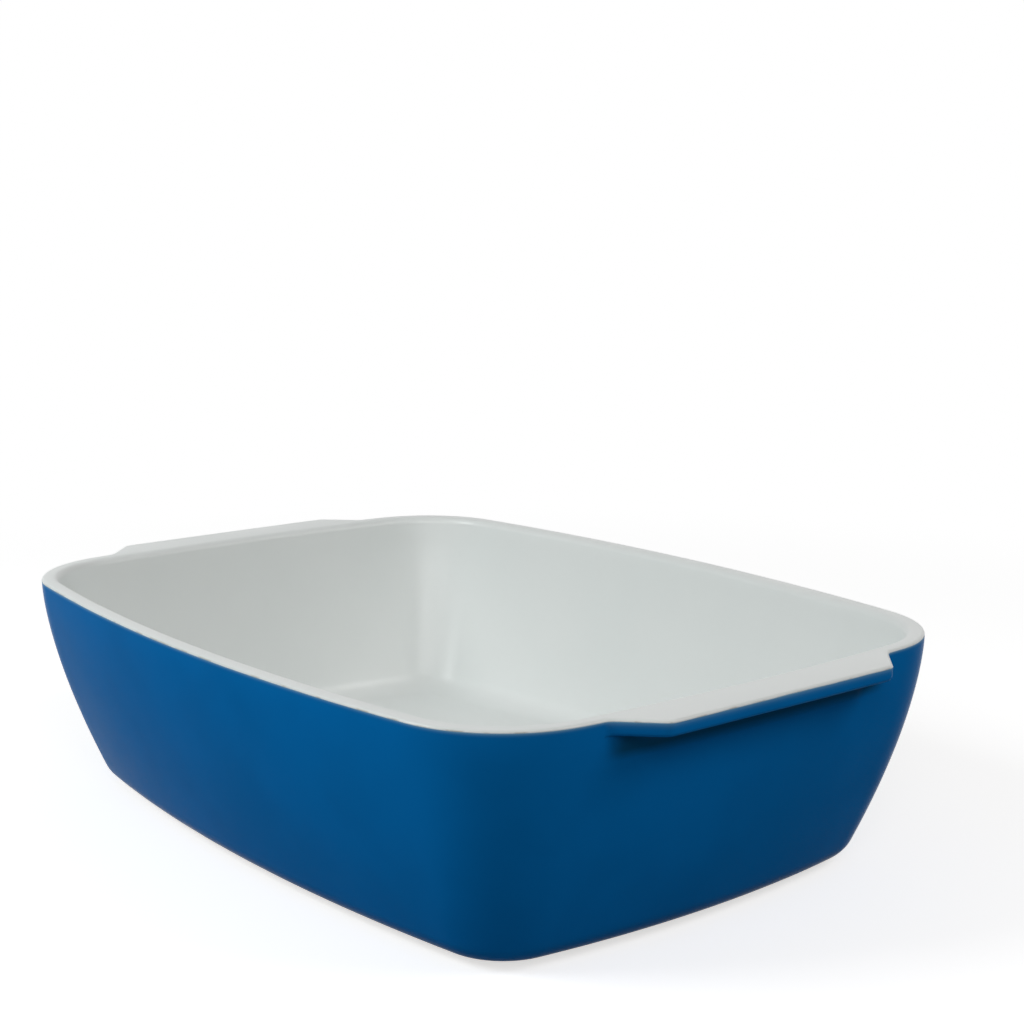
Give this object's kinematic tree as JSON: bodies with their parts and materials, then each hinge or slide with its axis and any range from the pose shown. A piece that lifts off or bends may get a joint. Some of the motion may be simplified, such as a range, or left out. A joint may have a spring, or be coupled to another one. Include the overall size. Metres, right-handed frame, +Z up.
{
  "type": "lasagna dish",
  "caption": "Deep rectangular stoneware baking dish with bowed sides and flat lug handles level with its rim, white inside and blue outside.",
  "frame": {"origin": "middle of the foot ring's lower face, on the surface that the dish stands on", "axes": "+X along the dish, through the right handle; +Y across it; +Z up, out of its mouth"},
  "size_m": [0.3638, 0.2558, 0.092],
  "materials": {
    "fired_clay": "bare fired stoneware, matt and slightly sandy",
    "white_glaze": "glossy off-white glaze",
    "blue_glaze": "glossy deep blue glaze"
  },
  "bodies": {
    "root": {"stoneware_body": "fired_clay", "foot_ring": "fired_clay", "handle_left": "fired_clay", "handle_right": "fired_clay", "white_glaze": "white_glaze", "blue_glaze": "blue_glaze"}
  },
  "joints": []
}
